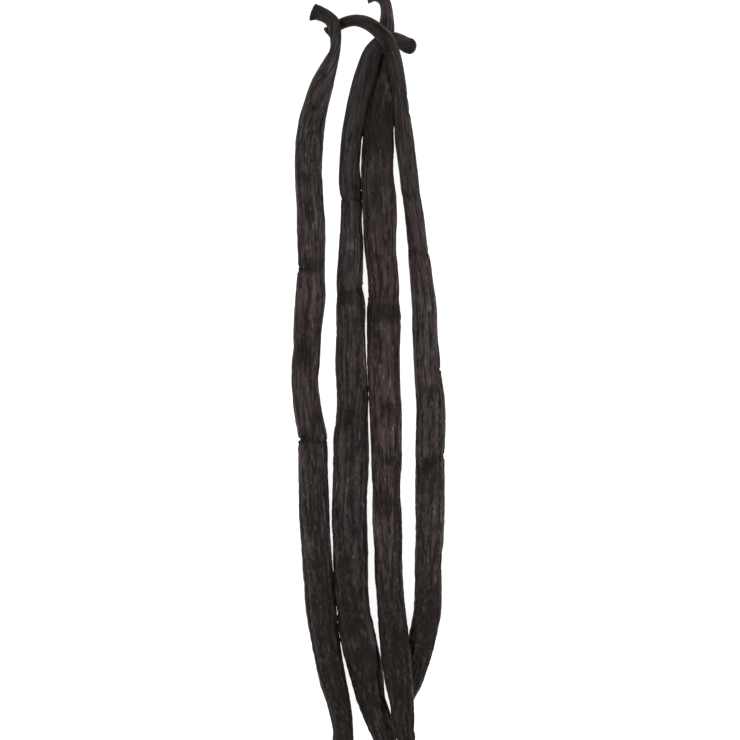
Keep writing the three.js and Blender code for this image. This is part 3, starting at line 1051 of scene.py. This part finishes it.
        # The painted amber glow of light through the skin, kept to the thin edges.
        at_edge = g.ramp(g.math("ABSOLUTE", self.cosine), *AMBER_BACKLIGHT_EDGE, smooth=True)
        amber = g.math("MULTIPLY", self.marked("amber"), at_edge)
        kept = {
            "grain": ("FLOAT_VECTOR", self.grain),
            "groove": ("FLOAT_VECTOR", g.combined(self.groove_shade, creased, ridges)),
            "stain_and_painted_light": ("FLOAT_VECTOR", g.combined(self.marked("dark"), amber, self.marked("pale"))),
            "shade": ("FLOAT_VECTOR", self.on_line("tone", self.distance)),
            "wavy": ("FLOAT", self.wavy),
        }
        for name, (kind, value) in kept.items():
            inputs = {"Geometry": mesh, "Name": name, "Value": value}
            settings = {"data_type": kind, "domain": "POINT"}
            mesh = g.add("GeometryNodeStoreNamedAttribute", inputs, **settings).outputs[0]
        return mesh

    def finish(self, mesh, settled):
        g = self.g
        mesh = g.add("GeometryNodeSetPosition", {"Geometry": mesh, "Position": settled}).outputs[0]
        mesh = g.add("GeometryNodeSetShadeSmooth", {"Geometry": mesh}).outputs[0]
        mesh = g.add("GeometryNodeRealizeInstances", {"Geometry": mesh}).outputs[0]
        inputs = {"Geometry": mesh, "Material": self.given["Skin"]}
        mesh = g.add("GeometryNodeSetMaterial", inputs).outputs[0]
        g.add("NodeGroupOutput", {0: mesh})


def grown(pod, tree, skin):
    """The pod as a plain mesh object, at the origin, made by the skin tree round its line."""
    piece = line_object(pod)
    modifier = piece.modifiers.new("skin", "NODES")
    modifier.node_group = tree
    own = {
        "Seed": pod.seed,
        "Scar Slant": pod.scar_slant * MM,
        "Tip Slant": pod.tip_slant * MM,
        "Skin": skin,
    }
    values = dict(SKIN_SIZES, **own)
    for socket in tree.interface.items_tree:
        if socket.name in values:
            modifier[socket.identifier] = values[socket.name]
    view = bpy.context.evaluated_depsgraph_get()
    mesh = bpy.data.meshes.new_from_object(
        piece.evaluated_get(view), preserve_all_data_layers=True, depsgraph=view
    )
    piece.modifiers.remove(modifier)
    piece.data = mesh
    return piece


def skin_material():
    """Cured skin: near-black oily brown, streaked along the grain, with painted shade in its grooves
    and creases, painted highlights, and a painted glow through thin edges.
    """
    material = bpy.data.materials.new("cured_vanilla_skin")
    material.use_nodes = True
    g = Nodes(material.node_tree)
    shader = material.node_tree.nodes["Principled BSDF"]

    def read(name, output="Vector"):
        return g.add("ShaderNodeAttribute", attribute_name=name).outputs[output]

    grain = read("grain")
    groove_shade, creased, ridges = g.separated(read("groove"))
    dark, amber, pale = g.separated(read("stain_and_painted_light"))
    light, warm, streaks = g.separated(read("shade"))
    wavy = read("wavy", "Fac")
    patterns = {
        name: g.noise(g.cells(grain, kind.spacing * MM, kind.stretch), *kind[2:])
        for name, kind in COLOUR_PATTERNS.items()
    }

    contrast = g.math("MULTIPLY", g.ramp(ridges, *CONTRAST_BY_RIDGES), streaks)
    contrast = g.math("MULTIPLY", contrast, g.ramp(patterns["calm"], *CONTRAST_BY_CALM))
    short, long = patterns["short_streaks"], patterns["long_streaks"]
    short_share = g.ramp(wavy, *SHORT_SHARE)
    mixed = g.math("MULTIPLY_ADD", g.math("SUBTRACT", short, long), short_share, long)
    streak = g.math("SUBTRACT", mixed, NOISE_MIDDLE)
    streak = g.math("MULTIPLY_ADD", streak, contrast, NOISE_MIDDLE)

    colour = g.coated(DEEP_BROWN, streak, STREAK_COAT)
    colour = g.coated(colour, patterns["rosy"], ROSY_COAT)
    colour = g.coated(colour, patterns["blotches"], BLOTCH_COAT)
    # Pale specks mixed with painted highlights, and painted glints.
    flecks_and_highlights = g.ramp(patterns["flecks_and_highlights"], *FLECKS_AND_HIGHLIGHTS)
    flecks_and_highlights = g.math("MAXIMUM", flecks_and_highlights, g.ramp(patterns["glints"], *GLINTS))
    flecks_and_highlights = g.math("MULTIPLY", flecks_and_highlights, g.ramp(ridges, *FLECKS_AND_HIGHLIGHTS_BY_RIDGES))
    colour = g.blended(flecks_and_highlights, colour, FLECK_AND_HIGHLIGHT_COLOUR)
    # Pale wear mixed with painted highlights.
    wear_and_highlights = g.math("MULTIPLY", pale, g.ramp(short, *WEAR_AND_HIGHLIGHTS_BY_STREAKS), clamp=True)
    colour = g.overlaid(colour, wear_and_highlights, PALE_WEAR_AND_HIGHLIGHTS)
    # Painted shade in the grooves.
    colour = g.coated(colour, groove_shade, GROOVE_SHADE_COAT)
    colour = g.coated(colour, patterns["scratches"], SCRATCH_COAT)
    warmth = g.math("ADD", warm, g.ramp(patterns["warmth"], *WARMTH), clamp=True)
    tint = g.blended(warmth, ASHEN_TINT, RUST_TINT)
    cast = g.blended(g.ramp(patterns["cast"], *CAST), GREENISH_TINT, PINKISH_TINT)
    colour = g.vector("MULTIPLY", colour, g.vector("MULTIPLY", tint, cast))
    colour = g.scaled(colour, light)
    # Dark stains mixed with painted shade.
    colour = g.overlaid(colour, dark, DARK_STAIN_AND_SHADE)
    # Painted shade in the fold creases and on the end faces.
    colour = g.overlaid(colour, creased, PAINTED_CREASE_SHADE)
    # A painted amber glow of light through thin edges.
    colour = g.overlaid(colour, amber, AMBER_BACKLIGHT)

    bumps = g.math("MULTIPLY_ADD", patterns["fibres"], FIBRE_HEIGHT, streak)
    bump_inputs = {"Height": bumps, "Distance": BUMP_DISTANCE, "Strength": BUMP_STRENGTH}
    finish = {
        "Base Color": colour,
        "Roughness": g.ramp(streak, *ROUGHNESS_BY_STREAKS),
        "Specular IOR Level": SKIN_SPECULAR,
        "Sheen Weight": SKIN_SHEEN,
        "Sheen Roughness": SKIN_SHEEN_ROUGHNESS,
        "Normal": g.add("ShaderNodeBump", bump_inputs).outputs[0],
    }
    for name, value in finish.items():
        g.fill(shader.inputs[name], value)
    return material


def table_material():
    """A plain white table that gives off a little light of its own, so that shadows stay faint."""
    material = bpy.data.materials.new("white_table")
    material.use_nodes = True
    shader = material.node_tree.nodes["Principled BSDF"]
    shader.inputs["Base Color"].default_value = (TABLE_WHITE, TABLE_WHITE, TABLE_WHITE, 1.0)
    shader.inputs["Roughness"].default_value = TABLE_ROUGHNESS
    shader.inputs["Specular IOR Level"].default_value = TABLE_SPECULAR
    shader.inputs["Emission Color"].default_value = (*WHITE, 1.0)
    shader.inputs["Emission Strength"].default_value = TABLE_GLOW
    return material


def make_table():
    """The table that the pods lie on, which isn't a part of the bundle."""
    far = TABLE_HALF
    mesh = bpy.data.meshes.new("white_table")
    corners = [(-far, -far, 0.0), (far, -far, 0.0), (far, far, 0.0), (-far, far, 0.0)]
    mesh.from_pydata(corners, [], [(0, 1, 2, 3)])
    mesh.materials.append(table_material())
    table = bpy.data.objects.new("white_table", mesh)
    bpy.context.scene.collection.objects.link(table)


def make_softbox(name, x, power):
    """A large soft light beside the pods, turned to face them."""
    light = bpy.data.lights.new(name, "AREA")
    light.shape = "RECTANGLE"
    light.size = SOFTBOX_WIDTH
    light.size_y = SOFTBOX_LENGTH
    light.energy = power
    softbox = bpy.data.objects.new(name, light)
    softbox.location = (x, 0.0, SOFTBOX_HEIGHT)
    softbox.rotation_euler = (0.0, math.atan2(x, SOFTBOX_HEIGHT), 0.0)
    bpy.context.scene.collection.objects.link(softbox)


def make_studio():
    world = bpy.data.worlds.new("studio")
    world.use_nodes = True
    background = world.node_tree.nodes["Background"]
    background.inputs["Color"].default_value = (*WHITE, 1.0)
    background.inputs["Strength"].default_value = SKY_STRENGTH
    bpy.context.scene.world = world
    for name, (x, power) in SOFTBOXES.items():
        make_softbox(name, x, power)
    bpy.context.scene.view_settings.view_transform = "Standard"


def make_camera():
    """Straight above the pods, with the stems at the top of the view."""
    camera = bpy.data.cameras.new("camera")
    camera.sensor_width = SENSOR_WIDTH
    camera.lens = SENSOR_WIDTH * (CAMERA_HEIGHT - EDGE_HEIGHT) / VIEW_WIDTH
    holder = bpy.data.objects.new("camera", camera)
    holder.location = (*CAMERA_PLACE, CAMERA_HEIGHT)
    bpy.context.scene.collection.objects.link(holder)
    bpy.context.scene.camera = holder


tree = SkinTree().tree
skin = skin_material()
for pod in PODS:
    piece = grown(pod, tree, skin)
    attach(piece, "root")
    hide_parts(pod.node)
make_table()
make_studio()
make_camera()
